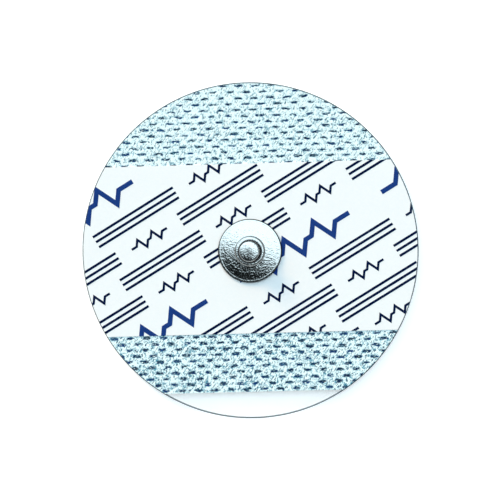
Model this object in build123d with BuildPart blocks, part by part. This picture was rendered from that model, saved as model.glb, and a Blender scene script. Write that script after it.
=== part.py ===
from build123d import *
from math import ceil, cos, hypot, radians, sin
import os

# A disposable snap electrode for heart monitoring: a clear film liner with a pressed cup, a gel pad
# in the cup, a plastic sensor whose post is snapped into a metal stud, an adhesive tape and a label.
# Sizes are in millimetres. The origin is on the stud's axis, level with the bottom of the cup.
# +Z points up to the stud, +X runs along the label and +Y away from the liner's bare lift edge.

# Release liner: clear film, with a cup pressed down round the gel pad
liner_diameter = 60.0
liner_thickness = 0.25
cup_depth = 1.5
cup_floor_diameter = 20.4
cup_wall_run = 1.0
cup_bend = 0.2

# Backing tape: soft nonwoven, with a straight cut that leaves the liner bare to be gripped
tape_margin = 0.2
tape_thickness = 0.35
tape_cut_distance = 25.2
post_hole_diameter = 3.2

# Bond marks pressed into the tape in staggered rows
mark_length = 1.3
mark_width = 0.38
mark_depth = 0.14
mark_pitch = 2.93
mark_row_pitch = 1.06
mark_row_drift = 0.143
mark_start_x = 0.705
mark_start_y = -0.36
mark_clearance = 0.3

# Label: a printed film band across the disc
label_height = 30.3
label_shift = 0.4
label_thickness = 0.12

# Print: slanted rows of triple stripes and small pulse lines, with a row of large pulse lines
ink_thickness = 0.03
print_angle = 30.35
stripe_length = 16.85
stripe_width = 0.44
stripe_pitch = 1.04
stripe_count = 3
stripe_start = 0.76
stripe_row_pitch = 4.53
stripe_rows = 4
large_row_start = 3.52
large_row_gap = 5.76
large_pulse_start = 7.04
large_pulse_length = 23.0
large_pulse_height = 4.9
large_pulse_stroke = 0.85
large_pulse_beats = 3
small_pulse_length = 7.4
small_pulse_height = 2.4
small_pulse_stroke = 0.42
small_pulse_beats = 2
repeat_length = 29.8

# Snap stud: drawn from thin sheet, with heights counted up from the label
stud_sheet = 0.25
flange_diameter = 11.4
rim_width = 0.38
rim_height = 0.5
boss_land = 0.2
boss_flare = 0.3
boss_height = 1.25
neck_diameter = 3.2
neck_length = 0.85
neck_flare = 0.65
neck_flare_height = 0.4
head_diameter = 3.9
head_ramp = 0.4
head_length = 1.2
head_crown_radius = 0.75
bend_radius = 0.3
edge_break = 0.15

# Sensor: coated plastic, a thin disc with a barbed post that is held inside the stud's head
sensor_diameter = 10.4
sensor_thickness = 0.5
post_clearance = 0.1
barb_clearance = 0.15
barb_length = 0.3
post_tip_taper = 0.5
post_top_clearance = 0.2

# Gel pad: a foam disc, pressed in where the sensor sits in it
pad_diameter = 18.0
pad_pocket_clearance = 0.2

# Levels of the layers, from the cup's bottom up
tape_level = cup_depth + liner_thickness
label_level = tape_level + tape_thickness
ink_level = label_level + label_thickness
stud_level = ink_level + ink_thickness
tape_radius = liner_diameter / 2 - tape_margin

os.makedirs("parts", exist_ok=True)


def label_outline():
    """The band between the label's straight edges, with ends cut to the tape's circle."""
    with BuildSketch(mode=Mode.PRIVATE) as outline:
        Circle(tape_radius)
        with Locations((0, label_shift)):
            Rectangle(liner_diameter, label_height, mode=Mode.INTERSECT)
    return outline.sketch


def pulse_line(length, height, stroke, beats):
    """One stroke with level ends that rises and then dips once for each beat."""
    lead = length * 0.1
    beat = (length - 2 * lead) / beats
    reach = height - stroke
    points = [(-length / 2, 0)]
    for number in range(beats):
        start = lead - length / 2 + number * beat
        for along, up in ((0.1, 0), (0.35, 0.5), (0.65, -0.5), (0.9, 0)):
            points.append((start + along * beat, up * reach))
    points.append((length / 2, 0))
    with BuildSketch(mode=Mode.PRIVATE) as line:
        with BuildLine():
            Polyline(*points)
        trace(line_width=stroke)
    return line.sketch


def on_print(along, across):
    """A place on the label, turned to the print, from distances along and across its rows."""
    slant = radians(print_angle)
    x = along * cos(slant) + across * sin(slant)
    y = along * sin(slant) - across * cos(slant)
    return Location((x, y), print_angle)


def near_label(place, reach):
    """Whether something of this reach, placed here, can touch the label."""
    x, y, _ = place.position
    return hypot(x, y) < tape_radius + reach and abs(y - label_shift) < label_height / 2 + reach


def ring_edge(part, radius, level):
    """The circular edge of a turned part at one radius and level."""
    rings = part.edges().filter_by(GeomType.CIRCLE)
    return rings.filter_by(lambda e: abs(e.radius - radius) < 1e-4 and abs(e.center().Z - level) < 1e-4)


# Release liner: the cup's underside is turned with its film laid on top
floor_radius = cup_floor_diameter / 2
with BuildPart() as release_liner:
    with BuildSketch(Plane.XZ):
        with BuildLine():
            Polyline(
                (0, 0),
                (floor_radius, 0),
                (floor_radius + cup_wall_run, cup_depth),
                (liner_diameter / 2, cup_depth),
            )
            offset(amount=liner_thickness, kind=Kind.INTERSECTION, side=Side.LEFT)
        make_face()
    revolve(axis=Axis.Z)
    chamfer(ring_edge(release_liner, floor_radius, 0), cup_bend)

# Gel pad, filling the cup's depth, with a pocket under the sensor
with BuildPart() as gel_pad:
    with BuildSketch(Plane.XY.offset(liner_thickness)):
        Circle(pad_diameter / 2)
    extrude(amount=cup_depth)
    with BuildSketch(Plane.XY.offset(tape_level)):
        Circle(sensor_diameter / 2 + pad_pocket_clearance)
    extrude(amount=-sensor_thickness, mode=Mode.SUBTRACT)

# Backing tape, cut off straight at the lift edge and marked where the label leaves it bare
mark_places = []
label_top = label_shift + label_height / 2
label_foot = label_shift - label_height / 2
rows = ceil(liner_diameter / mark_row_pitch)
columns = ceil((liner_diameter + rows * mark_row_drift) / mark_pitch)
for row in range(-rows, rows):
    y = mark_start_y + row * mark_row_pitch
    foot = y - mark_width / 2 - mark_clearance
    top = y + mark_width / 2 + mark_clearance
    bare = foot > label_top or (top < label_foot and foot > -tape_cut_distance)
    for column in range(-columns, columns):
        x = mark_start_x + (column + row % 2 / 2) * mark_pitch + row * mark_row_drift
        corner = hypot(abs(x) + mark_length / 2, abs(y) + mark_width / 2)
        if bare and corner < tape_radius - mark_clearance:
            mark_places.append((x, y))

with BuildPart() as backing_tape:
    with BuildSketch(Plane.XY.offset(tape_level)):
        Circle(tape_radius)
        with Locations((0, -tape_cut_distance)):
            Rectangle(liner_diameter, liner_diameter, align=(Align.CENTER, Align.MAX), mode=Mode.SUBTRACT)
        Circle(post_hole_diameter / 2, mode=Mode.SUBTRACT)
    extrude(amount=tape_thickness)
    with BuildSketch(Plane.XY.offset(label_level)):
        with Locations(*mark_places):
            Rectangle(mark_length, mark_width)
    extrude(amount=-mark_depth, mode=Mode.SUBTRACT)

# Label, over the middle of the tape
with BuildPart() as label_film:
    with BuildSketch(Plane.XY.offset(label_level)):
        add(label_outline())
        Circle(post_hole_diameter / 2, mode=Mode.SUBTRACT)
    extrude(amount=label_thickness)

# Print on the label
repeat_height = 2 * large_row_gap + (stripe_rows - 1) * stripe_row_pitch
stripe_places = []
small_places = []
large_places = []
lengths = ceil(liner_diameter / repeat_length)
heights = ceil(liner_diameter / repeat_height)
for across_number in range(-heights, heights):
    large_row = large_row_start + across_number * repeat_height
    for along_number in range(-lengths, lengths + 1):
        shift = along_number * repeat_length
        large_places.append(on_print(large_pulse_start + shift, large_row))
        for row in range(stripe_rows):
            across = large_row + large_row_gap + row * stripe_row_pitch
            group = stripe_start + shift + (row % 2 - 1) * repeat_length / 2
            small_places.append(on_print(group + repeat_length / 2, across))
            for stripe in range(stripe_count):
                step = (stripe - (stripe_count - 1) / 2) * stripe_pitch
                stripe_places.append(on_print(group, across + step))

small_pulse = pulse_line(small_pulse_length, small_pulse_height, small_pulse_stroke, small_pulse_beats)
large_pulse = pulse_line(large_pulse_length, large_pulse_height, large_pulse_stroke, large_pulse_beats)

with BuildPart() as label_print:
    with BuildSketch(Plane.XY.offset(ink_level)):
        with Locations(*[place for place in stripe_places if near_label(place, stripe_length / 2)]):
            Rectangle(stripe_length, stripe_width)
        with Locations(*[place for place in small_places if near_label(place, small_pulse_length / 2)]):
            add(small_pulse)
        with Locations(*[place for place in large_places if near_label(place, large_pulse_length / 2)]):
            add(large_pulse)
        add(label_outline(), mode=Mode.INTERSECT)
        Circle(post_hole_diameter / 2, mode=Mode.SUBTRACT)
    extrude(amount=ink_thickness)

# Snap stud: its outside is turned solid, hollowed to the sheet and then rounded at its bends
flange_radius = flange_diameter / 2
rim_radius = flange_radius - rim_width
neck_radius = neck_diameter / 2
neck_foot = (neck_radius + neck_flare, boss_height)
boss_radius = neck_radius + neck_flare + boss_land
head_radius = head_diameter / 2
neck_height = boss_height + neck_length
head_foot = neck_height + head_ramp
stud_height = head_foot + head_length
boss_foot = (boss_radius + boss_flare, boss_height - boss_flare)

stud_plane = Plane((0, 0, stud_level), (1, 0, 0), (0, -1, 0))

with BuildPart() as snap_stud:
    with BuildSketch(stud_plane):
        with BuildLine():
            Polyline(
                (0, 0),
                (0, stud_height),
                (head_radius, stud_height),
                (head_radius, head_foot),
                (neck_radius, neck_height),
                (neck_radius, boss_height + neck_flare_height),
                neck_foot,
                (boss_radius, boss_height),
                boss_foot,
                (rim_radius, rim_height),
                (flange_radius, rim_height),
                (flange_radius, 0),
                (0, 0),
            )
        make_face()
    revolve(axis=Axis.Z)
    mouth = snap_stud.faces().sort_by(Axis.Z)[0]
    offset(amount=-stud_sheet, kind=Kind.INTERSECTION, openings=mouth)
    for radius, height, bend in (
        (head_radius, stud_height, head_crown_radius),
        (boss_radius, boss_height, bend_radius),
    ):
        fillet(ring_edge(snap_stud, radius, stud_level + height), bend)
    for radius, height in ((head_radius, head_foot), (flange_radius, rim_height)):
        chamfer(ring_edge(snap_stud, radius, stud_level + height), edge_break)
    inner_crown = ring_edge(snap_stud, head_radius - stud_sheet, stud_level + stud_height - stud_sheet)
    chamfer(inner_crown, (head_crown_radius - stud_sheet) / 2)

# Sensor, with its post through the tape and label and its barb above the stud's neck
post_radius = neck_radius - stud_sheet - post_clearance
post_tip_radius = post_radius - post_tip_taper
barb_radius = head_radius - stud_sheet - barb_clearance
barb_level = stud_level + head_foot
post_top = stud_level + stud_height - stud_sheet - post_top_clearance
with BuildPart() as sensor_eyelet:
    with BuildSketch(Plane.XZ):
        with BuildLine():
            Polyline(
                (0, tape_level - sensor_thickness),
                (sensor_diameter / 2, tape_level - sensor_thickness),
                (sensor_diameter / 2, tape_level),
                (post_radius, tape_level),
                (post_radius, barb_level),
                (barb_radius, barb_level + barb_radius - post_radius),
                (barb_radius, barb_level + barb_radius - post_radius + barb_length),
                (post_tip_radius, post_top),
                (0, post_top),
                close=True,
            )
        make_face()
    revolve(axis=Axis.Z)

nodes = (
    ("release_liner", release_liner),
    ("gel_pad", gel_pad),
    ("sensor_eyelet", sensor_eyelet),
    ("backing_tape", backing_tape),
    ("label_film", label_film),
    ("label_print", label_print),
    ("snap_stud", snap_stud),
)
for name, node in nodes:
    node.part.label = name
    export_step(node.part, f"parts/{name}.step")
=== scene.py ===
"""Finish and soft pieces of a disposable snap electrode for heart monitoring.

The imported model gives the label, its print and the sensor, which are kept and only painted. The
liner, the gel pad, the tape and the stud are modelled again here, in the places of their solids.
All sizes are in metres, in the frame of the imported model: +Z out of the stud, +X along the label.
"""

import random
from math import asin, cos, pi, radians, sin, tan

import bpy
import numpy as np
from bpy.props import FloatProperty, FloatVectorProperty, IntProperty, PointerProperty
from mathutils import Matrix, Vector, noise


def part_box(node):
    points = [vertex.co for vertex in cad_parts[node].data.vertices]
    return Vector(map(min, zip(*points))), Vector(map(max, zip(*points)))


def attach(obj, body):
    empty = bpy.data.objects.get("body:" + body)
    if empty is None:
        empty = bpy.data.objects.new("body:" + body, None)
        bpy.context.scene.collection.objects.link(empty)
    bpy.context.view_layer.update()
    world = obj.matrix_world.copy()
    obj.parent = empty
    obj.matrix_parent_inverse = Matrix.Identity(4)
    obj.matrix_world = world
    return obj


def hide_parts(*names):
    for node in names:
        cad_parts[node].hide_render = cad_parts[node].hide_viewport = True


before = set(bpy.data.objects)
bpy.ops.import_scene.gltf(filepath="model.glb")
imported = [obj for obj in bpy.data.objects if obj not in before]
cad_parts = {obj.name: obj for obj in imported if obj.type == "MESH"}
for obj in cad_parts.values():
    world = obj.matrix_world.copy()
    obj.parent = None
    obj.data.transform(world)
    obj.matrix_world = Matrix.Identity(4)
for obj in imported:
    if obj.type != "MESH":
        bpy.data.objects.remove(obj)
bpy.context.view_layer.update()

bl_info = {
    "name": "Snap Electrode",
    "version": (1, 0, 0),
    "blender": (4, 5, 0),
    "location": "View3D > Sidebar > Electrode",
    "description": "Builds the looks of a round snap electrode on its packed model",
    "category": "Object",
}

MM = 0.001
WHITE = (1.0, 1.0, 1.0, 1.0)
NEARLY_STRAIGHT = pi / 2 - 0.01

# The sides of each turned piece, and the half width of the flat at its axis
LINER_SIDES = 240
PAD_SIDES = 144
STUD_SIDES = 160
AXIS_FLAT = 0.3 * MM

# How uneven the pressed marks are: spreads of their turn in degrees and of their place and bow in
# millimetres, and ranges of their length, width and strength as shares
MARK_TURN, MARK_ALONG, MARK_ACROSS, MARK_BOW = 4, 0.05, 0.035, 0.08
MARK_LENGTHS, MARK_WIDTHS, MARK_STRENGTHS = (0.8, 1.12), (0.75, 1.15), (0.72, 1.0)

# The nips between the marks: the share of marks that have one, the spread of its place in
# millimetres, ranges of its slant in degrees and of its strength, its size and its reach
NIP_SHARE, NIP_SPREAD, NIP_SLANTS, NIP_STRENGTHS = 0.6, 0.08, (35, 75), (0.35, 0.7)
NIP_LENGTH, NIP_WIDTH, NIP_REACH = 0.24 * MM, 0.09 * MM, 0.5 * MM


def linear(hex_colour):
    """A colour for a shader from its sRGB hex value."""
    channels = [int(hex_colour[i : i + 2], 16) / 255 for i in (1, 3, 5)]
    return tuple(c / 12.92 if c <= 0.04045 else ((c + 0.055) / 1.055) ** 2.4 for c in channels)


def colour(name, description, hex_colour):
    """A property that holds a colour."""
    return FloatVectorProperty(
        name=name,
        description=description,
        subtype="COLOR",
        size=3,
        min=0.0,
        max=1.0,
        default=linear(hex_colour),
    )


def length(name, description, size):
    """A property that holds a size, given in millimetres and kept in metres."""
    return FloatProperty(
        name=name,
        description=description,
        unit="LENGTH",
        precision=5,
        default=size * MM,
    )


def box_size(node, axis):
    """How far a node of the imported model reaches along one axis, in millimetres."""
    low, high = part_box(node)
    return (high[axis] - low[axis]) / MM


def box_level(node, end):
    """The lowest (0) or highest (1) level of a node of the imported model, in metres."""
    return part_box(node)[end][2]


class LinerSettings(bpy.types.PropertyGroup):
    diameter: length("Diameter", "Across the liner", box_size("release_liner", 0))
    film: length("Film", "Thickness of the clear film", 0.25)
    cup_depth: length("Cup depth", "From the flange down to the cup's floor", 1.5)
    cup_floor: length("Cup floor", "Across the floor's underside, bend to bend", 20.4)
    cup_run: length("Wall run", "How far the cup's wall leans outwards", 1.0)
    bend: length("Bend radius", "Radius of the pressed bends", 0.5)
    tint: colour("Film", "Colour of the clear film where it shows", "#FFFDFB")
    # The cut edge's grey is painted shade, for the dark line of refraction and shadow at the film's
    # edge
    edge: colour("Cut edge", "Grey that the film's cut edge gathers", "#414E56")


class TapeSettings(bpy.types.PropertyGroup):
    cut: length("Cut distance", "From the middle to the straight lower edge", 25.2)
    hole: length("Hole", "Across the hole for the sensor's post", 3.2)
    grid: length("Grid", "Spacing of the points where the tape is bare", 0.13)
    hidden_grid: length("Hidden grid", "Spacing of the rows under the label", 0.8)
    mark_length: length("Mark length", "Length of one pressed mark", 1.3)
    mark_width: length("Mark width", "Width of one pressed mark", 0.38)
    mark_depth: length("Mark depth", "How deep a mark is pressed", 0.14)
    mark_pitch: length("Mark pitch", "From mark to mark along a row", 2.93)
    row_pitch: length("Row pitch", "From row to row, each shifted by half a pitch", 1.06)
    start_x: length("Start X", "Where the pattern starts along the tape", 0.705)
    start_y: length("Start Y", "Where the pattern starts across the tape", -0.36)
    drift: length("Drift", "How far each row lies to the right of the row below it", 0.143)
    loft: length("Loft", "How far the cloth swells between the marks", 0.03)
    press_lean: FloatProperty(
        name="Press lean",
        description="How much wider the marks are at the straight edge than in the middle",
        default=0.25,
    )
    seed: IntProperty(name="Seed", description="Picks the marks' unevenness", default=11)
    cloth: colour("Cloth", "Pale fibres", "#EEFBFB")
    shade: colour("Thin cloth", "Where the fibres are thin", "#5694A8")
    # The near black of the marks is partly the fused fibres' own colour and partly painted shade in
    # the pressed marks
    mark: colour("Mark", "Fused fibres in the marks", "#010A14")
    mark_blue: colour("Blue mark", "Fused fibres in the bluer marks", "#103F7A")
    core: colour("Core", "Flat middle of a mark", "#74B0C8")
    fringe: colour("Fringe", "Fibres drawn thin round a mark", "#4C96AE")
    tick: colour("Tick", "Slanted ticks between the marks", "#0A465E")


class StudSettings(bpy.types.PropertyGroup):
    sheet: length("Sheet", "Thickness of the drawn metal", 0.25)
    flange: length("Flange", "Across the flange", box_size("snap_stud", 0))
    height: length("Height", "From the label to the crown", box_size("snap_stud", 2))
    rim_width: length("Rim width", "Width of the flat rim", 0.48)
    rim_height: length("Rim height", "Height of the rim's top", 0.5)
    boss: length("Boss", "Across the boss under the neck", 4.9)
    boss_height: length("Boss height", "Height of the boss", 1.25)
    boss_flare: length("Boss flare", "Slope at the boss's foot", 0.3)
    neck: length("Neck", "Across the neck", 3.2)
    neck_length: length("Neck length", "Length of the neck", 0.85)
    neck_flare: length("Neck flare", "How far the neck's foot flares out", 0.65)
    flare_height: length("Flare height", "Height of that flare", 0.4)
    head: length("Head", "Across the head", 3.9)
    head_ramp: length("Head ramp", "Height of the taper below the head", 0.4)
    crown: length("Crown radius", "Radius of the head's shoulder", 0.6)
    swell: length("Swell", "How far the flange swells between boss and rim", 0.04)
    metal: colour("Plating", "Nickel plating", "#D3CFCB")
    # Near black painted as shade and reflection on the stud: in the recess under the head, on its
    # shoulders, on the flange's cut edge and in the middle of the head
    painted_shade: colour("Painted shade", "Dull plating in the recess under the head", "#07090D")


class PadSettings(bpy.types.PropertyGroup):
    diameter: length("Diameter", "Across the foam disc", box_size("gel_pad", 0))
    pocket: length("Pocket", "Across the pocket under the sensor", 10.8)
    pocket_depth: length("Pocket depth", "Depth of that pocket", 0.5)
    foam: colour("Foam", "Foam soaked with gel", "#CFE6EE")
    pore: colour("Pores", "Open pores filled with gel", "#9CC6D6")


class StageSettings(bpy.types.PropertyGroup):
    view_width: length("View width", "What the picture spans at the label's level", 89.06)
    aim: length("Aim", "How far above the middle the camera aims", 0.14)
    lens: FloatProperty(name="Lens", description="Focal length in millimetres", default=200.0)
    tilt: FloatProperty(
        name="Tilt",
        description="How far the camera stands off the upright",
        subtype="ANGLE",
        default=radians(3.5),
    )
    side: FloatProperty(
        name="Side",
        description="Which way the camera stands off, from +X towards +Y",
        subtype="ANGLE",
        default=radians(43),
    )
    roll: FloatProperty(
        name="Roll",
        description="How far the label leans up to the right in the picture",
        subtype="ANGLE",
        default=radians(1.65),
    )


def deselect():
    """Deselects every object, so that only what is added next is selected."""
    bpy.ops.object.select_all(action="DESELECT")


def keep(piece, name, *nodes, material, slot):
    """Names a finished piece, gives it its material and puts it in its solids' place."""
    piece.name = name
    piece.data.name = name
    piece.data.materials.clear()
    piece.data.materials.append(material)
    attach(piece, "root")
    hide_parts(*nodes)


def bent(corners, steps=6):
    """A line through (radius, height, bend) corners, each rounded to its bend radius."""
    line = [Vector(corners[0][:2])]
    for before, here, after in zip(corners, corners[1:], corners[2:]):
        corner = Vector(here[:2])
        inward = (Vector(before[:2]) - corner).normalized()
        onward = (Vector(after[:2]) - corner).normalized()
        half = inward.angle(onward) / 2
        if here[2] <= 0 or half > NEARLY_STRAIGHT:
            line.append(corner)
            continue
        reach = here[2] / tan(half)
        centre = corner + (inward + onward).normalized() * (here[2] / sin(half))
        start = corner + inward * reach - centre
        swing = start.angle_signed(corner + onward * reach - centre)
        for step in range(steps + 1):
            a = -swing * step / steps
            x = start.x * cos(a) - start.y * sin(a)
            y = start.x * sin(a) + start.y * cos(a)
            line.append(centre + Vector((x, y)))
    line.append(Vector(corners[-1][:2]))
    return line


def beside(line, distance):
    """A line that runs at one distance to the right of another, for the far side of a sheet."""
    moved = []
    for number, point in enumerate(line):
        before = line[max(number - 1, 0)]
        after = line[min(number + 1, len(line) - 1)]
        along = (after - before).normalized()
        moved.append(point + Vector((along.y, -along.x)) * distance)
    return moved


def turn(rings, segments):
    """Turns a closed outline into a solid: a disc is extruded and scaled from ring to ring."""
    deselect()
    radius, level = rings[0]
    bpy.ops.mesh.primitive_circle_add(
        vertices=segments,
        radius=radius,
        fill_type="NGON",
        location=(0, 0, level),
        enter_editmode=True,
    )
    for ring_radius, ring_level in rings[1:]:
        step = ring_radius / radius
        bpy.ops.mesh.extrude_region_move(
            TRANSFORM_OT_translate={"value": (0, 0, ring_level - level)},
        )
        bpy.ops.transform.resize(value=(step, step, 1))
        radius, level = ring_radius, ring_level
    bpy.ops.mesh.select_all(action="SELECT")
    bpy.ops.mesh.normals_make_consistent(inside=False)
    bpy.ops.object.mode_set(mode="OBJECT")
    bpy.ops.object.transform_apply(location=True, rotation=True, scale=True)
    bpy.ops.object.shade_smooth_by_angle(angle=radians(40))
    return bpy.context.object


def add(tree, kind, feeds=None, **settings):
    """Adds one shader node with its settings, and feeds its inputs with values or outputs."""
    made = tree.nodes.new(kind)
    for name, value in settings.items():
        setattr(made, name, value)
    for socket, value in (feeds or {}).items():
        if isinstance(value, bpy.types.NodeSocket):
            tree.links.new(value, made.inputs[socket])
        else:
            made.inputs[socket].default_value = value
    return made


def new_material(name):
    """An empty material with its node tree and the place of each point on the piece."""
    material = bpy.data.materials.new(name)
    material.use_nodes = True
    tree = material.node_tree
    tree.nodes.clear()
    place = add(tree, "ShaderNodeTexCoord").outputs["Object"]
    return material, tree, place


def from_axis(tree, place):
    """The place of each point as seen from above, and its distance from the axis."""
    flat = add(tree, "ShaderNodeVectorMath", {0: place, 1: (1.0, 1.0, 0.0)}, operation="MULTIPLY")
    radius = add(tree, "ShaderNodeVectorMath", {0: flat.outputs[0]}, operation="LENGTH")
    return flat.outputs[0], radius.outputs["Value"]


def rgba(value):
    """A colour with full alpha."""
    return (*value[:3], 1.0)


def nonwoven_material(settings):
    """Spunlaid nonwoven: soft fibres in all directions, fused flat in pressed marks painted dark,
    partly as the fused fibres' colour and partly as painted shade.
    """
    material, tree, place = new_material("spunlaid_nonwoven_pressed")
    # Fibre bundles are about 0.25 mm wide here, coarser than real fibres, so that they show
    web = {"Vector": place, "Scale": 1 / (0.5 * MM), "Roughness": 0.8, "Distortion": 0.8}
    bundles = add(tree, "ShaderNodeTexNoise", web)
    span = {"From Min": 0.36, "From Max": 0.5, "To Min": 1.0, "To Max": 0.0}
    thin = add(tree, "ShaderNodeMapRange", {"Value": bundles.outputs["Fac"], **span})
    # The web is thinner in clouds about 3 mm across, and the cloth is a little darker towards the
    # straight edge
    clouds = add(tree, "ShaderNodeTexNoise", {"Vector": place, "Scale": 1 / (3.0 * MM)})
    across = add(tree, "ShaderNodeSeparateXYZ", {0: place})
    span = {"From Min": -25 * MM, "From Max": 25 * MM, "To Min": 0.55, "To Max": 0.2}
    lean = add(tree, "ShaderNodeMapRange", {"Value": across.outputs["Y"], **span})
    cloud_share = 0.9
    thin_share = add(
        tree,
        "ShaderNodeMath",
        {0: clouds.outputs["Fac"], 1: cloud_share, 2: lean.outputs["Result"]},
        operation="MULTIPLY_ADD",
    )
    thinned = add(
        tree,
        "ShaderNodeMath",
        {0: thin_share.outputs[0], 1: thin.outputs["Result"]},
        operation="MULTIPLY",
    )
    pressed = add(tree, "ShaderNodeAttribute", attribute_name="pressed").outputs["Fac"]
    tone = add(tree, "ShaderNodeAttribute", attribute_name="tone").outputs["Fac"]
    # The marks are streaked and frayed by fused bundles about 0.1 mm wide that run along them
    bundle = (0.5 * MM, 0.2 * MM, 1.0)
    along = add(
        tree, "ShaderNodeMapping", {"Vector": place, "Scale": bundle}, vector_type="TEXTURE"
    )
    wisps = add(
        tree, "ShaderNodeTexNoise", {"Vector": along.outputs[0], "Scale": 1.0, "Roughness": 0.6}
    )
    fray, fray_start = 7.0, -2.3
    frayed = add(
        tree,
        "ShaderNodeMath",
        {0: wisps.outputs["Fac"], 1: fray, 2: fray_start},
        operation="MULTIPLY_ADD",
    )
    edge = add(tree, "ShaderNodeMath", {0: pressed, 1: frayed.outputs[0]}, operation="MULTIPLY")
    mask = add(
        tree, "ShaderNodeMapRange", {"Value": edge.outputs[0], "From Min": 0.38, "From Max": 0.49}
    )
    # Some marks are bluer than others, and each is bluer in some of its streaks
    streak_blue, streak_start, mark_blue = 3.0, -1.36, 0.45
    bluer = add(
        tree,
        "ShaderNodeMath",
        {0: wisps.outputs["Fac"], 1: streak_blue, 2: streak_start},
        operation="MULTIPLY_ADD",
    )
    bluest = add(
        tree,
        "ShaderNodeMath",
        {0: tone, 1: mark_blue, 2: bluer.outputs[0]},
        operation="MULTIPLY_ADD",
        use_clamp=True,
    )
    # The flat middle of a mark is paler than its rim, whose dark is partly painted shade
    core = add(
        tree,
        "ShaderNodeMapRange",
        {"Value": pressed, "From Min": 0.84, "From Max": 0.95, "To Max": 0.25},
    )
    # Slanted ticks about 0.1 mm wide and 0.25 mm long lie between the marks
    slant = add(
        tree,
        "ShaderNodeMapping",
        {"Vector": place, "Rotation": (0, 0, radians(55)), "Scale": bundle},
        vector_type="TEXTURE",
    )
    strokes = add(
        tree, "ShaderNodeTexNoise", {"Vector": slant.outputs[0], "Scale": 1.0, "Detail": 0.5}
    )
    tick = add(
        tree,
        "ShaderNodeMapRange",
        {"Value": strokes.outputs["Fac"], "From Min": 0.61, "From Max": 0.65},
    )
    ticks = add(
        tree,
        "ShaderNodeMath",
        {0: tick.outputs["Result"], 1: thin_share.outputs[0]},
        operation="MULTIPLY",
        use_clamp=True,
    )
    # Round a mark the fibres are drawn thin, which leaves a bluer fringe
    drawn = add(
        tree,
        "ShaderNodeMapRange",
        {"Value": edge.outputs[0], "From Min": 0.12, "From Max": 0.34, "To Max": 0.6},
    )
    # Each colour lies over the ones before it by its own share, first the colours of a mark
    mark = rgba(settings.mark)
    for share, over in (
        (bluest.outputs[0], rgba(settings.mark_blue)),
        (core.outputs["Result"], rgba(settings.core)),
    ):
        layer = add(tree, "ShaderNodeMix", {0: share, 6: mark, 7: over}, data_type="RGBA")
        mark = layer.outputs[2]
    painted = rgba(settings.cloth)
    for share, over in (
        (thinned.outputs[0], rgba(settings.shade)),
        (ticks.outputs[0], rgba(settings.tick)),
        (drawn.outputs["Result"], rgba(settings.fringe)),
        (mask.outputs["Result"], mark),
    ):
        layer = add(tree, "ShaderNodeMix", {0: share, 6: painted, 7: over}, data_type="RGBA")
        painted = layer.outputs[2]
    roughness = add(
        tree, "ShaderNodeMapRange", {"Value": mask.outputs["Result"], "To Min": 0.95, "To Max": 0.6}
    )
    bump = add(
        tree,
        "ShaderNodeBump",
        {"Height": bundles.outputs["Fac"], "Strength": 0.5, "Distance": 0.08 * MM},
    )
    surface = add(
        tree,
        "ShaderNodeBsdfPrincipled",
        {
            "Base Color": painted,
            "Roughness": roughness.outputs["Result"],
            "Specular IOR Level": 0.15,
            "Sheen Weight": 0.1,
            "Sheen Roughness": 0.5,
            "Normal": bump.outputs["Normal"],
        },
    )
    add(tree, "ShaderNodeOutputMaterial", {"Surface": surface.outputs[0]})
    return material


def label_material():
    """Cast polyethylene film: opaque white with a soft gloss and a faint unevenness."""
    material, tree, place = new_material("cast_polyethylene_film")
    # The glue below the film gives it slow waves about 4 mm long, and casting a grain of 0.4 mm
    waves = add(tree, "ShaderNodeTexNoise", {"Vector": place, "Scale": 1 / (4.0 * MM)})
    grain = add(
        tree, "ShaderNodeTexNoise", {"Vector": place, "Scale": 1 / (0.4 * MM), "Detail": 3.0}
    )
    white = add(
        tree,
        "ShaderNodeMix",
        {0: grain.outputs["Fac"], 6: rgba(linear("#F5F0EE")), 7: rgba(linear("#EDECEC"))},
        data_type="RGBA",
    )
    waves_to_grain = 12.0
    height = add(
        tree,
        "ShaderNodeMath",
        {0: waves.outputs["Fac"], 1: waves_to_grain, 2: grain.outputs["Fac"]},
        operation="MULTIPLY_ADD",
    )
    bump = add(
        tree,
        "ShaderNodeBump",
        {"Height": height.outputs[0], "Strength": 0.25, "Distance": 0.01 * MM},
    )
    surface = add(
        tree,
        "ShaderNodeBsdfPrincipled",
        {
            "Base Color": white.outputs[2],
            "Roughness": 0.42,
            "IOR": 1.5,
            "Normal": bump.outputs["Normal"],
        },
    )
    add(tree, "ShaderNodeOutputMaterial", {"Surface": surface.outputs[0]})
    return material


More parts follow.
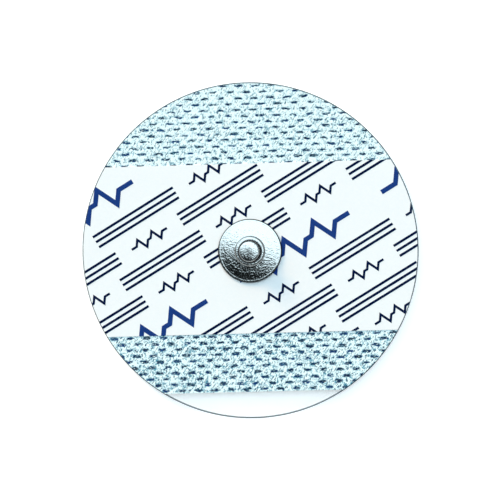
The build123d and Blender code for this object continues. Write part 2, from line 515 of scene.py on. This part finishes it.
def ink_material():
    """Flexographic ink: flat dark blue, thinner and bluer on the large pulse lines."""
    material, tree, place = new_material("flexographic_ink")
    # The rows slant by 30.35 degrees, and the rows of large pulse lines are 25.11 mm apart
    slant = radians(30.35)
    row_gap, first_row, half_band = 25.11, 3.52, 3.2
    across = add(
        tree,
        "ShaderNodeVectorMath",
        {0: place, 1: (sin(slant) / MM, -cos(slant) / MM, 0.0)},
        operation="DOT_PRODUCT",
    )
    # The ink is large where it lies less than half a band from the nearest of those rows
    is_large = across.outputs["Value"]
    for operation, number in (
        ("SUBTRACT", first_row - row_gap / 2),
        ("FLOORED_MODULO", row_gap),
        ("SUBTRACT", row_gap / 2),
        ("ABSOLUTE", 0.0),
        ("LESS_THAN", half_band),
    ):
        step = add(tree, "ShaderNodeMath", {0: is_large, 1: number}, operation=operation)
        is_large = step.outputs[0]
    # Ink lies in a mottle of about 0.3 mm, where the film took more or less of it
    mottle = add(
        tree,
        "ShaderNodeTexNoise",
        {"Vector": place, "Scale": 1 / (0.3 * MM), "Detail": 4.0, "Roughness": 0.65},
    )
    inks = []
    for more, less in (("#000418", "#081C4A"), ("#0E1E5C", "#22488C")):
        mixed = add(
            tree,
            "ShaderNodeMix",
            {0: mottle.outputs["Fac"], 6: rgba(linear(more)), 7: rgba(linear(less))},
            data_type="RGBA",
        )
        inks.append(mixed.outputs[2])
    ink = add(tree, "ShaderNodeMix", {0: is_large, 6: inks[0], 7: inks[1]}, data_type="RGBA")
    surface = add(
        tree,
        "ShaderNodeBsdfPrincipled",
        {"Base Color": ink.outputs[2], "Roughness": 0.6, "Specular IOR Level": 0.05},
    )
    add(tree, "ShaderNodeOutputMaterial", {"Surface": surface.outputs[0]})
    return material


def nickel_material(settings):
    """Barrel-plated nickel on drawn steel: bright, with fine dents from tumbling in the barrel."""
    material, tree, place = new_material("barrel_plated_nickel")
    # Drawing leaves broken streaks round the axis, about 0.15 mm wide, longer towards the rim
    flat_place, radius = from_axis(tree, place)
    streak_width, streaks_round = 0.28 * MM, 9.0
    around = add(tree, "ShaderNodeVectorMath", {0: flat_place}, operation="NORMALIZE")
    rings = add(tree, "ShaderNodeMath", {0: radius, 1: 1 / streak_width}, operation="MULTIPLY")
    climb = add(tree, "ShaderNodeSeparateXYZ", {0: place})
    level = add(
        tree,
        "ShaderNodeMath",
        {0: climb.outputs["Z"], 1: 1 / streak_width, 2: rings.outputs[0]},
        operation="MULTIPLY_ADD",
    )
    lift = add(tree, "ShaderNodeCombineXYZ", {"Z": level.outputs[0]})
    streak_place = add(
        tree,
        "ShaderNodeVectorMath",
        {0: around.outputs[0], 1: (streaks_round,) * 3, 2: lift.outputs[0]},
        operation="MULTIPLY_ADD",
    )
    streaks = add(
        tree, "ShaderNodeTexNoise", {"Vector": streak_place.outputs[0], "Scale": 1.0, "Detail": 1.5}
    )
    # Tumbling in the barrel adds dents about 0.15 mm across
    dents = add(
        tree, "ShaderNodeTexNoise", {"Vector": place, "Scale": 1 / (0.3 * MM), "Detail": 1.5}
    )
    streaks_to_dents = 0.8
    height = add(
        tree,
        "ShaderNodeMath",
        {0: streaks.outputs["Fac"], 1: streaks_to_dents, 2: dents.outputs["Fac"]},
        operation="MULTIPLY_ADD",
    )
    # The flat rim was pressed smoother than the cone
    edge = settings.flange / 2
    rim = edge - settings.rim_width
    span = {"From Min": rim - 0.15 * MM, "From Max": rim, "To Min": 1.0, "To Max": 0.35}
    dented = add(tree, "ShaderNodeMapRange", {"Value": radius, **span})
    bump = add(
        tree,
        "ShaderNodeBump",
        {"Height": height.outputs[0], "Strength": dented.outputs["Result"], "Distance": 0.06 * MM},
    )
    span = {"From Min": 0.35, "From Max": 0.65, "To Min": 0.1, "To Max": 0.2}
    roughness = add(tree, "ShaderNodeMapRange", {"Value": dents.outputs["Fac"], **span})
    # Painted shade and painted reflection, by height: near black in the recess under the head and
    # on the head's shoulder, half dark just below the boss's top edge and faint on the head's side
    foot = box_level("snap_stud", 0)
    rise = add(
        tree,
        "ShaderNodeMapRange",
        {"Value": climb.outputs["Z"], "From Min": foot, "From Max": foot + settings.height},
    )
    painted_bands = add(tree, "ShaderNodeValToRGB", {"Fac": rise.outputs["Result"]})
    boss = settings.boss_height
    head_foot = boss + settings.neck_length + settings.head_ramp
    stops = (
        (boss - 0.26 * MM, 0.0),
        (boss - 0.18 * MM, 0.45),
        (boss - 0.06 * MM, 0.45),
        (boss - 0.01 * MM, 0.0),
        (boss + 0.03 * MM, 0.0),
        (boss + 0.15 * MM, 1.0),
        (head_foot, 1.0),
        (head_foot + 0.25 * MM, 0.1),
        (settings.height - 0.66 * MM, 0.1),
        (settings.height - 0.54 * MM, 0.98),
        (settings.height - 0.34 * MM, 0.98),
        (settings.height - 0.25 * MM, 0.0),
    )
    for end in (0, 1):
        painted_bands.color_ramp.elements[end].color = (0.0, 0.0, 0.0, 1.0)
    for stop, share in stops:
        element = painted_bands.color_ramp.elements.new(stop / settings.height)
        element.color = (share, share, share, 1.0)
    # A near-black band is painted on the flange's cut edge as well: painted shade for the dark
    # outline and contact shadow round the flange
    span = {"From Min": edge - 0.2 * MM, "From Max": edge - 0.12 * MM, "To Max": 0.9}
    cut = add(tree, "ShaderNodeMapRange", {"Value": radius, **span})
    # The middle of the head, a little off its axis, is painted darker in patches: a painted dark
    # reflection in its flat top
    middle = add(
        tree,
        "ShaderNodeVectorMath",
        {0: place, 1: (-0.3 * MM, -0.35 * MM, foot + settings.height)},
        operation="DISTANCE",
    )
    span = {"From Min": 0.6 * MM, "From Max": 1.35 * MM, "To Min": 0.85, "To Max": 0.0}
    head_middle_dark = add(tree, "ShaderNodeMapRange", {"Value": middle.outputs["Value"], **span})
    span = {"From Min": 0.38, "From Max": 0.55, "To Min": 1.0, "To Max": 0.2}
    patchy = add(tree, "ShaderNodeMapRange", {"Value": dents.outputs["Fac"], **span})
    painted_reflection = add(
        tree,
        "ShaderNodeMath",
        {0: head_middle_dark.outputs["Result"], 1: patchy.outputs["Result"]},
        operation="MULTIPLY",
    )
    painted_dark = painted_bands.outputs["Color"]
    for other in (painted_reflection.outputs[0], cut.outputs["Result"]):
        painted_dark = add(tree, "ShaderNodeMath", {0: painted_dark, 1: other}, operation="MAXIMUM").outputs[0]
    plating = add(
        tree,
        "ShaderNodeMix",
        {0: painted_dark, 6: rgba(settings.metal), 7: rgba(settings.painted_shade)},
        data_type="RGBA",
    )
    # The painted dark parts lose the bright sheen at low angles as well, so that the painted shade
    # holds there too
    grazing = add(
        tree, "ShaderNodeMix", {0: painted_dark, 6: WHITE, 7: rgba(settings.painted_shade)}, data_type="RGBA"
    )
    surface = add(
        tree,
        "ShaderNodeBsdfPrincipled",
        {
            "Base Color": plating.outputs[2],
            "Specular Tint": grazing.outputs[2],
            "Metallic": 1.0,
            "Roughness": roughness.outputs["Result"],
            "Normal": bump.outputs["Normal"],
        },
    )
    add(tree, "ShaderNodeOutputMaterial", {"Surface": surface.outputs[0]})
    return material


def film_material(settings):
    """Thermoformed clear PET: almost nothing to see but its gloss and a painted grey line at its
    cut edge, which stands in for the dark line of refraction and shadow there.
    """
    material, tree, place = new_material("thermoformed_clear_pet")
    _, radius = from_axis(tree, place)
    rim = settings.diameter / 2
    # A grey, nearly opaque band painted at the cut edge stands in for the dark line that refraction
    # and shadow give it
    span = {"From Min": rim - 0.3 * MM, "From Max": rim - 0.18 * MM}
    cut = add(tree, "ShaderNodeMapRange", {"Value": radius, **span})
    tint = add(
        tree,
        "ShaderNodeMix",
        {0: cut.outputs["Result"], 6: rgba(settings.tint), 7: rgba(settings.edge)},
        data_type="RGBA",
    )
    cover = add(
        tree, "ShaderNodeMapRange", {"Value": cut.outputs["Result"], "To Min": 0.14, "To Max": 0.95}
    )
    # Handling leaves faint smears about 2 mm long
    smears = add(
        tree, "ShaderNodeTexNoise", {"Vector": place, "Scale": 1 / (2.0 * MM), "Detail": 3.0}
    )
    roughness = add(
        tree, "ShaderNodeMapRange", {"Value": smears.outputs["Fac"], "To Min": 0.08, "To Max": 0.2}
    )
    surface = add(
        tree,
        "ShaderNodeBsdfPrincipled",
        {
            "Base Color": tint.outputs[2],
            "Roughness": roughness.outputs["Result"],
            "IOR": 1.57,
            "Alpha": cover.outputs["Result"],
        },
    )
    add(tree, "ShaderNodeOutputMaterial", {"Surface": surface.outputs[0]})
    return material


def foam_material(settings):
    """Open-cell foam soaked with gel: wet, pale and full of small pores."""
    material, tree, place = new_material("open_cell_foam_with_gel")
    # Pores are about 0.35 mm across
    pores = add(tree, "ShaderNodeTexVoronoi", {"Vector": place, "Scale": 1 / (0.35 * MM)})
    span = {"From Min": 0.1, "From Max": 0.5, "To Min": 1.0, "To Max": 0.0}
    depth = add(tree, "ShaderNodeMapRange", {"Value": pores.outputs["Distance"], **span})
    tint = add(
        tree,
        "ShaderNodeMix",
        {0: depth.outputs["Result"], 6: rgba(settings.foam), 7: rgba(settings.pore)},
        data_type="RGBA",
    )
    bump = add(
        tree,
        "ShaderNodeBump",
        {"Height": pores.outputs["Distance"], "Strength": 0.6, "Distance": 0.1 * MM},
    )
    surface = add(
        tree,
        "ShaderNodeBsdfPrincipled",
        {
            "Base Color": tint.outputs[2],
            "Roughness": 0.35,
            "IOR": 1.38,
            "Subsurface Weight": 0.3,
            "Subsurface Scale": 0.6 * MM,
            "Coat Weight": 0.4,
            "Coat Roughness": 0.1,
            "Normal": bump.outputs["Normal"],
        },
    )
    add(tree, "ShaderNodeOutputMaterial", {"Surface": surface.outputs[0]})
    return material


def sensor_material():
    """Moulded ABS with a silver and silver chloride coat: dull grey with darker specks."""
    material, tree, place = new_material("silver_chloride_coated_abs")
    # The coat has specks of about 0.1 mm
    specks = add(
        tree, "ShaderNodeTexNoise", {"Vector": place, "Scale": 1 / (0.15 * MM), "Detail": 4.0}
    )
    spread = add(
        tree,
        "ShaderNodeMapRange",
        {"Value": specks.outputs["Fac"], "From Min": 0.4, "From Max": 0.62},
    )
    tint = add(
        tree,
        "ShaderNodeMix",
        {0: spread.outputs["Result"], 6: rgba(linear("#B3B1AE")), 7: rgba(linear("#7C7A79"))},
        data_type="RGBA",
    )
    bump = add(
        tree,
        "ShaderNodeBump",
        {"Height": specks.outputs["Fac"], "Strength": 0.3, "Distance": 0.02 * MM},
    )
    surface = add(
        tree,
        "ShaderNodeBsdfPrincipled",
        {
            "Base Color": tint.outputs[2],
            "Metallic": 0.35,
            "Roughness": 0.55,
            "Normal": bump.outputs["Normal"],
        },
    )
    add(tree, "ShaderNodeOutputMaterial", {"Surface": surface.outputs[0]})
    return material


class ELECTRODE_OT_liner(bpy.types.Operator):
    """Turns the clear liner with its pressed cup"""

    bl_idname = "electrode.liner"
    bl_label = "Release liner"
    bl_options = {"REGISTER", "UNDO"}

    def execute(self, context):
        s = context.scene.electrode_liner
        rim = s.diameter / 2
        floor = s.cup_floor / 2
        under = bent(
            [
                (AXIS_FLAT, 0, 0),
                (floor, 0, s.bend),
                (floor + s.cup_run, s.cup_depth, s.bend),
                (rim, s.cup_depth, 0),
            ]
        )
        above = beside(under, -s.film)
        # The cut edge is rounded by a fifth of the film
        round_off = s.film / 5
        under[-1].x -= round_off
        above[-1].x -= round_off
        edge = [
            Vector((rim, s.cup_depth + round_off)),
            Vector((rim, s.cup_depth + s.film - round_off)),
        ]
        piece = turn(under + edge + above[::-1], LINER_SIDES)
        keep(piece, "liner", "release_liner", material=film_material(s), slot="liner_film")
        return {"FINISHED"}


class ELECTRODE_OT_pad(bpy.types.Operator):
    """Turns the gel pad, with the sensor's pocket in its top and softened edges"""

    bl_idname = "electrode.pad"
    bl_label = "Gel pad"
    bl_options = {"REGISTER", "UNDO"}

    def execute(self, context):
        s = context.scene.electrode_pad
        foot = box_level("gel_pad", 0)
        top = box_level("gel_pad", 1)
        outer = s.diameter / 2
        inner = s.pocket / 2
        soft = 0.12 * MM
        drawn_in = 0.1 * MM
        line = bent(
            [
                (AXIS_FLAT, foot, 0),
                (outer, foot, soft),
                (outer - drawn_in, (foot + top) / 2, soft),
                (outer, top, soft),
                (inner, top, soft),
                (inner, top - s.pocket_depth, soft),
                (AXIS_FLAT, top - s.pocket_depth, 0),
            ],
            steps=4,
        )
        piece = turn(line, PAD_SIDES)
        keep(piece, "gel_sponge", "gel_pad", material=foam_material(s), slot="gel_foam")
        return {"FINISHED"}


def mark_places(s, radius):
    """The middle of every pressed mark that can touch the tape."""
    # A few more rows and columns than fit across, because the rows drift
    rows = int(radius / s.row_pitch) + 2
    columns = int(radius / s.mark_pitch) + 4
    for row in range(-rows, rows + 1):
        for column in range(-columns, columns + 1):
            x = s.start_x + (column + row % 2 / 2) * s.mark_pitch + row * s.drift
            yield x, s.start_y + row * s.row_pitch


def along_and_aside(dx, dy, angle):
    """Distances along and across a direction, from those along X and Y."""
    return dx * cos(angle) + dy * sin(angle), dy * cos(angle) - dx * sin(angle)


def press(s, x, y, radius):
    """How far each point of the tape is pressed, from 0 to 1, and how blue its mark is."""
    pressed = np.zeros(len(x))
    tone = np.zeros(len(x))
    rng = random.Random(s.seed)
    for mark_x, mark_y in mark_places(s, radius):
        angle = radians(rng.gauss(0, MARK_TURN))
        middle_x = mark_x + rng.gauss(0, MARK_ALONG) * MM
        middle_y = mark_y + rng.gauss(0, MARK_ACROSS) * MM
        harder = 1 - s.press_lean * mark_y / radius
        half_length = s.mark_length / 2 * rng.uniform(*MARK_LENGTHS)
        half_width = s.mark_width / 2 * rng.uniform(*MARK_WIDTHS) * harder
        bow = rng.gauss(0, MARK_BOW) * MM
        strength = rng.uniform(*MARK_STRENGTHS)
        blue = rng.random() ** 2
        near = (np.abs(x - middle_x) < s.mark_pitch / 2) & (np.abs(y - middle_y) < s.row_pitch)
        if not near.any():
            continue
        along, aside = along_and_aside(x[near] - middle_x, y[near] - middle_y, angle)
        aside = aside - bow * (along / half_length) ** 2
        off = (along / half_length) ** 4 + (aside / half_width) ** 2
        value = strength / (1 + off**1.5)
        better = value > pressed[near]
        pressed[near] = np.where(better, value, pressed[near])
        tone[near] = np.where(better, blue, tone[near])
        # A small slanted nip follows most marks, halfway to the next one
        if rng.random() < NIP_SHARE:
            nip_x = middle_x + s.mark_pitch / 2 + rng.gauss(0, NIP_SPREAD) * MM
            nip_y = middle_y + rng.gauss(0, NIP_SPREAD) * MM
            slant = radians(rng.uniform(*NIP_SLANTS))
            nip = rng.uniform(*NIP_STRENGTHS)
            close = (np.abs(x - nip_x) < NIP_REACH) & (np.abs(y - nip_y) < NIP_REACH)
            along, aside = along_and_aside(x[close] - nip_x, y[close] - nip_y, slant)
            off = (along / NIP_LENGTH) ** 2 + (aside / NIP_WIDTH) ** 2
            pressed[close] = np.maximum(pressed[close], nip / (1 + off**1.5))
    return pressed, tone


class ELECTRODE_OT_tape(bpy.types.Operator):
    """Lays the nonwoven tape and presses its marks where the label leaves it bare"""

    bl_idname = "electrode.tape"
    bl_label = "Backing tape"
    bl_options = {"REGISTER", "UNDO"}

    def execute(self, context):
        s = context.scene.electrode_tape
        low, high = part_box("backing_tape")
        label_low, label_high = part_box("label_film")
        radius = (high[0] - low[0]) / 2
        # Rows are close where the tape is bare and far apart under the label
        hem = 0.6 * MM
        stops = [
            (-s.cut, label_low[1] + hem, s.grid),
            (label_low[1] + hem, label_high[1] - hem, s.hidden_grid),
            (label_high[1] - hem, radius, s.grid),
        ]
        rows = [-s.cut]
        for start, end, spacing in stops:
            count = round((end - start) / spacing)
            rows += [start + (end - start) * (n + 1) / count for n in range(count)]
        columns = round(2 * radius / s.grid)
        deselect()
        bands = len(rows) - 1
        bpy.ops.mesh.primitive_grid_add(x_subdivisions=columns, y_subdivisions=bands, size=2)
        piece = context.object
        mesh = piece.data
        flat = np.empty(len(mesh.vertices) * 3)
        mesh.vertices.foreach_get("co", flat)
        points = flat.reshape(-1, 3)
        row_of = np.rint((points[:, 1] + 1) / 2 * bands).astype(int)
        x = points[:, 0] * radius
        y = np.array(rows)[row_of]
        # Points past the circle or inside the post's hole move onto it, if they have a neighbour on
        # the tape, and the faces that lie wholly off the tape are deleted
        reach = np.hypot(x, y)
        hole = s.hole / 2
        off = (reach > radius) | (reach < hole)
        corners = np.empty(len(mesh.polygons) * 4, int)
        mesh.polygons.foreach_get("vertices", corners)
        gone = off[corners.reshape(-1, 4)].all(axis=1)
        tiny = 1e-9
        factor = np.where(reach > radius, radius / np.maximum(reach, tiny), 1.0)
        factor = np.where(reach < hole, hole / np.maximum(reach, tiny), factor)
        factor = np.where(reach < tiny, 1.0, factor)
        x = x * factor
        y = np.maximum(y * factor, -s.cut)
        bare = (y < label_low[1]) | (y > label_high[1])
        pressed, tone = press(s, x, y, radius)
        pressed = np.where(bare, pressed, 0.0)
        z = np.full(len(x), high[2])
        cushion = 1.1 * MM
        for number in np.flatnonzero(bare):
            swell = noise.noise(Vector((x[number], y[number], 0)) / cushion)
            z[number] += s.loft / 2 * (swell - 1)
        z -= np.where(bare, s.mark_depth * pressed**1.5, 0.0)
        mesh.vertices.foreach_set("co", np.column_stack([x, y, z]).ravel())
        for name, values in (("pressed", pressed), ("tone", tone)):
            layer = mesh.attributes.new(name, "FLOAT", "POINT")
            layer.data.foreach_set("value", values.astype(np.float32))
        mesh.update()
        bpy.ops.object.mode_set(mode="EDIT")
        bpy.ops.mesh.select_mode(type="FACE")
        bpy.ops.object.mode_set(mode="OBJECT")
        mesh.polygons.foreach_set("select", gone)
        bpy.ops.object.mode_set(mode="EDIT")
        bpy.ops.mesh.delete(type="FACE")
        # The edges go down to the glue, and faces close the tape below
        bpy.ops.mesh.select_mode(type="EDGE")
        bpy.ops.mesh.select_all(action="DESELECT")
        bpy.ops.mesh.select_non_manifold(extend=False)
        bpy.ops.mesh.extrude_edges_move(TRANSFORM_OT_translate={"value": (0, 0, low[2] - high[2])})
        bpy.ops.transform.resize(value=(1, 1, 0))
        bpy.ops.mesh.fill(use_beauty=True)
        bpy.ops.mesh.select_all(action="SELECT")
        bpy.ops.mesh.normals_make_consistent(inside=False)
        bpy.ops.object.mode_set(mode="OBJECT")
        flat = np.empty(len(mesh.vertices) * 3)
        mesh.vertices.foreach_get("co", flat)
        points = flat.reshape(-1, 3)
        # The underside lies a hair clear of the liner, or the two faces would show as dark bands
        hair, margin = 0.01 * MM, 0.1 * MM
        below = points[:, 2] < low[2] + margin
        points[below, 2] = low[2] + hair
        mesh.vertices.foreach_set("co", points.ravel())
        for name in ("pressed", "tone"):
            values = np.empty(len(mesh.vertices), np.float32)
            mesh.attributes[name].data.foreach_get("value", values)
            values[below] = 0.0
            mesh.attributes[name].data.foreach_set("value", values)
        mesh.update()
        bpy.ops.object.shade_smooth_by_angle(angle=radians(50))
        keep(piece, "nonwoven_tape", "backing_tape", material=nonwoven_material(s), slot="nonwoven")
        return {"FINISHED"}


class ELECTRODE_OT_stud(bpy.types.Operator):
    """Turns the drawn metal stud, hollow inside, with all of its bends rounded"""

    bl_idname = "electrode.stud"
    bl_label = "Snap stud"
    bl_options = {"REGISTER", "UNDO"}

    def execute(self, context):
        s = context.scene.electrode_stud
        foot = box_level("snap_stud", 0)
        edge = s.flange / 2
        rim = edge - s.rim_width
        boss = s.boss / 2
        toe = (boss + s.boss_flare, s.boss_height - s.boss_flare)
        neck_top = s.boss_height + s.neck_length
        head_foot = neck_top + s.head_ramp
        # Outer bends are wider than the sheet, so that the inside keeps a bend as well
        soft = s.sheet + 0.05 * MM
        tight = 0.15 * MM
        cut_edge = 0.04 * MM
        swell = ((toe[0] + rim) / 2, (toe[1] + s.rim_height) / 2 + s.swell)
        # The crown falls by 0.15 mm to its shoulder
        outside = bent(
            [
                (0.1 * MM, s.height, 0),
                (0.7 * MM, s.height - 0.03 * MM, 2 * MM),
                (s.head / 2, s.height - 0.15 * MM, s.crown),
                (s.head / 2, head_foot, soft),
                (s.neck / 2, neck_top, 0.2 * MM),
                (s.neck / 2, s.boss_height + s.flare_height, tight),
                (s.neck / 2 + s.neck_flare, s.boss_height, tight),
                (boss, s.boss_height, soft),
                (*toe, tight),
                (*swell, 6 * MM),
                (rim, s.rim_height, tight),
                (edge, s.rim_height, s.sheet + 0.1 * MM),
                (edge, cut_edge, 0),
                (edge - cut_edge, 0, 0),
            ]
        )
        inside = beside(outside[:-1], s.sheet)
        inside[-1].y = 0
        line = [Vector((p.x, p.y + foot)) for p in inside + outside[::-1]]
        piece = turn(line, STUD_SIDES)
        keep(piece, "stud", "snap_stud", material=nickel_material(s), slot="plated_metal")
        return {"FINISHED"}


class ELECTRODE_OT_label(bpy.types.Operator):
    """Finishes the label film, its print and the coated sensor"""

    bl_idname = "electrode.label"
    bl_label = "Label, print and sensor"
    bl_options = {"REGISTER", "UNDO"}

    def execute(self, context):
        finishes = {
            "label_film": label_material(),
            "label_print": ink_material(),
            "sensor_eyelet": sensor_material(),
        }
        for node, material in finishes.items():
            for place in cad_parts[node].material_slots:
                place.material = material
        return {"FINISHED"}


class ELECTRODE_OT_stage(bpy.types.Operator):
    """Sets the white table, the light and the camera above the electrode"""

    bl_idname = "electrode.stage"
    bl_label = "Stage"
    bl_options = {"REGISTER", "UNDO"}

    def execute(self, context):
        s = context.scene.electrode_stage
        scene = context.scene
        scene.view_settings.view_transform = "Standard"
        self.table()
        self.sky(scene)
        self.lamp()
        self.camera(scene, s)
        return {"FINISHED"}

    def table(self):
        """A white table, which the camera sees at full white where no shadow falls."""
        deselect()
        bpy.ops.mesh.primitive_plane_add(size=4, location=(0, 0, -0.02 * MM))
        table = bpy.context.object
        table.name = "table"
        material, tree, _ = new_material("white_card")
        path = add(tree, "ShaderNodeLightPath")
        seen = path.outputs["Is Camera Ray"]
        for ray in ("Is Glossy Ray", "Is Transmission Ray"):
            feeds = {0: seen, 1: path.outputs[ray]}
            seen = add(tree, "ShaderNodeMath", feeds, operation="MAXIMUM").outputs[0]
        glow_strength = 0.54
        strength = add(tree, "ShaderNodeMath", {0: seen, 1: glow_strength}, operation="MULTIPLY")
        card = add(tree, "ShaderNodeBsdfDiffuse", {"Color": rgba(linear("#E6E8E8"))})
        glow = add(tree, "ShaderNodeEmission", {"Color": WHITE, "Strength": strength.outputs[0]})
        both = add(tree, "ShaderNodeAddShader", {0: card.outputs[0], 1: glow.outputs[0]})
        add(tree, "ShaderNodeOutputMaterial", {"Surface": both.outputs[0]})
        table.data.materials.append(material)

    def sky(self, scene):
        """Soft light, bright from the upper right and dim from the lower left."""
        world = bpy.data.worlds.new("studio")
        scene.world = world
        world.use_nodes = True
        tree = world.node_tree
        tree.nodes.clear()
        direction = add(tree, "ShaderNodeTexCoord").outputs["Generated"]
        bright_side = (0.32, 0.947, 0.0)
        lean = add(
            tree, "ShaderNodeVectorMath", {0: direction, 1: bright_side}, operation="DOT_PRODUCT"
        )
        level = add(
            tree,
            "ShaderNodeMapRange",
            {"Value": lean.outputs["Value"], "From Min": -0.25, "From Max": 0.04, "To Min": 0.004},
            interpolation_type="SMOOTHSTEP",
        )
        # The bright part reaches lower down at the upper left than at the right
        upper_left = (-0.32, 0.24, 1.0)
        climb = add(
            tree, "ShaderNodeVectorMath", {0: direction, 1: upper_left}, operation="DOT_PRODUCT"
        )
        above = add(
            tree,
            "ShaderNodeMapRange",
            {"Value": climb.outputs["Value"], "From Min": 0.3, "From Max": 0.65, "To Max": 2.2},
            interpolation_type="SMOOTHSTEP",
        )
        # A grey wall stands round the table
        height = add(tree, "ShaderNodeSeparateXYZ", {0: direction})
        span = {"From Min": 0.3, "From Max": 0.78, "To Min": 0.32, "To Max": 0.0}
        wall = add(
            tree,
            "ShaderNodeMapRange",
            {"Value": height.outputs["Z"], **span},
            interpolation_type="SMOOTHSTEP",
        )
        light = add(
            tree,
            "ShaderNodeMath",
            {0: level.outputs["Result"], 1: above.outputs["Result"], 2: wall.outputs["Result"]},
            operation="MULTIPLY_ADD",
        )
        path = add(tree, "ShaderNodeLightPath")
        strength = add(
            tree,
            "ShaderNodeMix",
            {0: path.outputs["Is Camera Ray"], 2: light.outputs[0], 3: 1.0},
            data_type="FLOAT",
        )
        background = add(
            tree,
            "ShaderNodeBackground",
            {"Color": rgba(linear("#D6F2FF")), "Strength": strength.outputs[0]},
        )
        add(tree, "ShaderNodeOutputWorld", {"Surface": background.outputs[0]})

    def lamp(self):
        """One soft, warm lamp from the top and a little left, for shadows at the lower edges."""
        deselect()
        bpy.ops.object.light_add(type="SUN", location=(-0.17, 0.22, 0.105))
        lamp = bpy.context.object
        lamp.data.angle = radians(18)
        lamp.data.energy = 2.55
        lamp.data.color = linear("#FFCB89")
        # Metal and ink would show it as a warm spot, so it only lights and shades
        lamp.visible_glossy = False
        lamp.rotation_euler = (-lamp.location).to_track_quat("-Z", "Y").to_euler()

    def camera(self, scene, s):
        """The camera, nearly upright above the label and rolled as the photograph is."""
        bpy.ops.object.camera_add()
        camera = bpy.context.object
        scene.camera = camera
        sensor_width = 36.0
        camera.data.lens = s.lens
        camera.data.sensor_width = sensor_width
        distance = s.view_width * s.lens / sensor_width
        target = Vector((0, s.aim, box_level("label_film", 1)))
        away = Vector((sin(s.tilt) * cos(s.side), sin(s.tilt) * sin(s.side), cos(s.tilt)))
        up = Vector((sin(s.roll), cos(s.roll), 0.0))
        right = up.cross(away).normalized()
        up = away.cross(right)
        place = target + away * distance
        axes = Matrix((right, up, away)).transposed()
        camera.matrix_world = Matrix.Translation(place) @ axes.to_4x4()
        camera.data.clip_start = 0.01


class ELECTRODE_PT_panel(bpy.types.Panel):
    """Lists the electrode's pieces and their sizes"""

    bl_idname = "ELECTRODE_PT_panel"
    bl_label = "Snap electrode"
    bl_space_type = "VIEW_3D"
    bl_region_type = "UI"
    bl_category = "Electrode"

    def draw(self, context):
        for group, operator in PANEL_ROWS:
            box = self.layout.box()
            settings = getattr(context.scene, group, None)
            if settings is not None:
                for name in settings.__annotations__:
                    box.prop(settings, name)
            box.operator(operator.bl_idname)


SETTINGS = {
    "electrode_liner": LinerSettings,
    "electrode_pad": PadSettings,
    "electrode_tape": TapeSettings,
    "electrode_stud": StudSettings,
    "electrode_stage": StageSettings,
}
PANEL_ROWS = (
    ("electrode_liner", ELECTRODE_OT_liner),
    ("electrode_pad", ELECTRODE_OT_pad),
    ("electrode_tape", ELECTRODE_OT_tape),
    ("electrode_label", ELECTRODE_OT_label),
    ("electrode_stud", ELECTRODE_OT_stud),
    ("electrode_stage", ELECTRODE_OT_stage),
)


def register():
    for name, group in SETTINGS.items():
        bpy.utils.register_class(group)
        setattr(bpy.types.Scene, name, PointerProperty(type=group))
    for _, operator in PANEL_ROWS:
        bpy.utils.register_class(operator)
    bpy.utils.register_class(ELECTRODE_PT_panel)


def unregister():
    bpy.utils.unregister_class(ELECTRODE_PT_panel)
    for _, operator in reversed(PANEL_ROWS):
        bpy.utils.unregister_class(operator)
    for name, group in reversed(SETTINGS.items()):
        delattr(bpy.types.Scene, name)
        bpy.utils.unregister_class(group)


def main():
    """Builds every piece and the stage."""
    register()
    bpy.ops.electrode.stage()
    bpy.ops.electrode.liner()
    bpy.ops.electrode.pad()
    bpy.ops.electrode.tape()
    bpy.ops.electrode.label()
    bpy.ops.electrode.stud()


if __name__ == "__main__":
    main()
